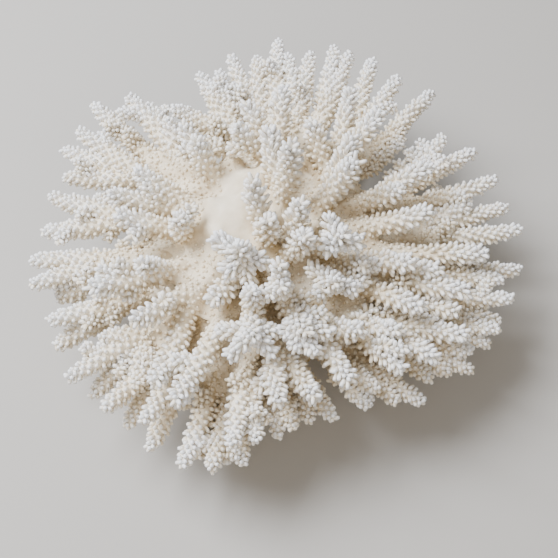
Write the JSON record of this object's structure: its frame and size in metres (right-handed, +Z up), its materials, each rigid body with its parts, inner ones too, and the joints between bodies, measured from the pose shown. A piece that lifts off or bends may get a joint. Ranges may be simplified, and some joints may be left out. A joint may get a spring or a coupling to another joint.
{
  "type": "table coral",
  "caption": "Dried white table coral colony: bristly branches fan out from a short cut foot, to rest on a shelf as a display specimen.",
  "frame": {"origin": "middle of the flat cut under the foot, where the colony was cut off", "axes": "+Z up out of the cut, +X to the right and +Y to the back of the colony as seen in the picture"},
  "size_m": [0.2992, 0.2951, 0.128],
  "materials": {
    "coral_branch": "bleached aragonite skeleton, matt and chalky, tiny open cups all over, cool white at the tips",
    "coral_foot": "bleached aragonite skeleton, matt, smoother and tanner where the branches grow together"
  },
  "bodies": {
    "root": {"foot": "coral_foot", "rim_branch_01": "coral_branch", "rim_branch_02": "coral_branch", "rim_branch_03": "coral_branch", "rim_branch_04": "coral_branch", "rim_branch_05": "coral_branch", "rim_branch_06": "coral_branch", "rim_branch_07": "coral_branch", "rim_branch_08": "coral_branch", "rim_branch_09": "coral_branch", "rim_branch_10": "coral_branch", "rim_branch_11": "coral_branch", "rim_branch_12": "coral_branch", "rim_branch_13": "coral_branch", "rim_branch_14": "coral_branch", "rim_branch_15": "coral_branch", "rim_branch_16": "coral_branch", "rim_branch_17": "coral_branch", "rim_branch_18": "coral_branch", "rim_branch_19": "coral_branch", "rim_branch_20": "coral_branch", "rim_branch_21": "coral_branch", "rim_branch_22": "coral_branch", "rim_branch_23": "coral_branch", "rim_branch_24": "coral_branch", "rim_branch_25": "coral_branch", "rim_branch_26": "coral_branch", "rim_branch_27": "coral_branch", "rim_branch_28": "coral_branch", "rim_branch_29": "coral_branch", "rim_branch_30": "coral_branch", "rim_branch_31": "coral_branch", "rim_branch_32": "coral_branch", "upper_branch_01": "coral_branch", "upper_branch_02": "coral_branch", "upper_branch_03": "coral_branch", "upper_branch_04": "coral_branch", "upper_branch_05": "coral_branch", "upper_branch_06": "coral_branch", "upper_branch_07": "coral_branch", "upper_branch_08": "coral_branch", "upper_branch_09": "coral_branch", "upper_branch_10": "coral_branch", "upper_branch_11": "coral_branch", "upper_branch_12": "coral_branch", "upper_branch_13": "coral_branch", "upper_branch_14": "coral_branch", "upper_branch_15": "coral_branch", "upper_branch_16": "coral_branch", "upper_branch_17": "coral_branch", "upper_branch_18": "coral_branch", "upper_branch_19": "coral_branch", "upper_branch_20": "coral_branch", "upper_branch_21": "coral_branch", "crown_branch_01": "coral_branch", "crown_branch_02": "coral_branch", "crown_branch_03": "coral_branch", "crown_branch_04": "coral_branch", "crown_branch_05": "coral_branch", "crown_branch_06": "coral_branch"}
  },
  "joints": []
}
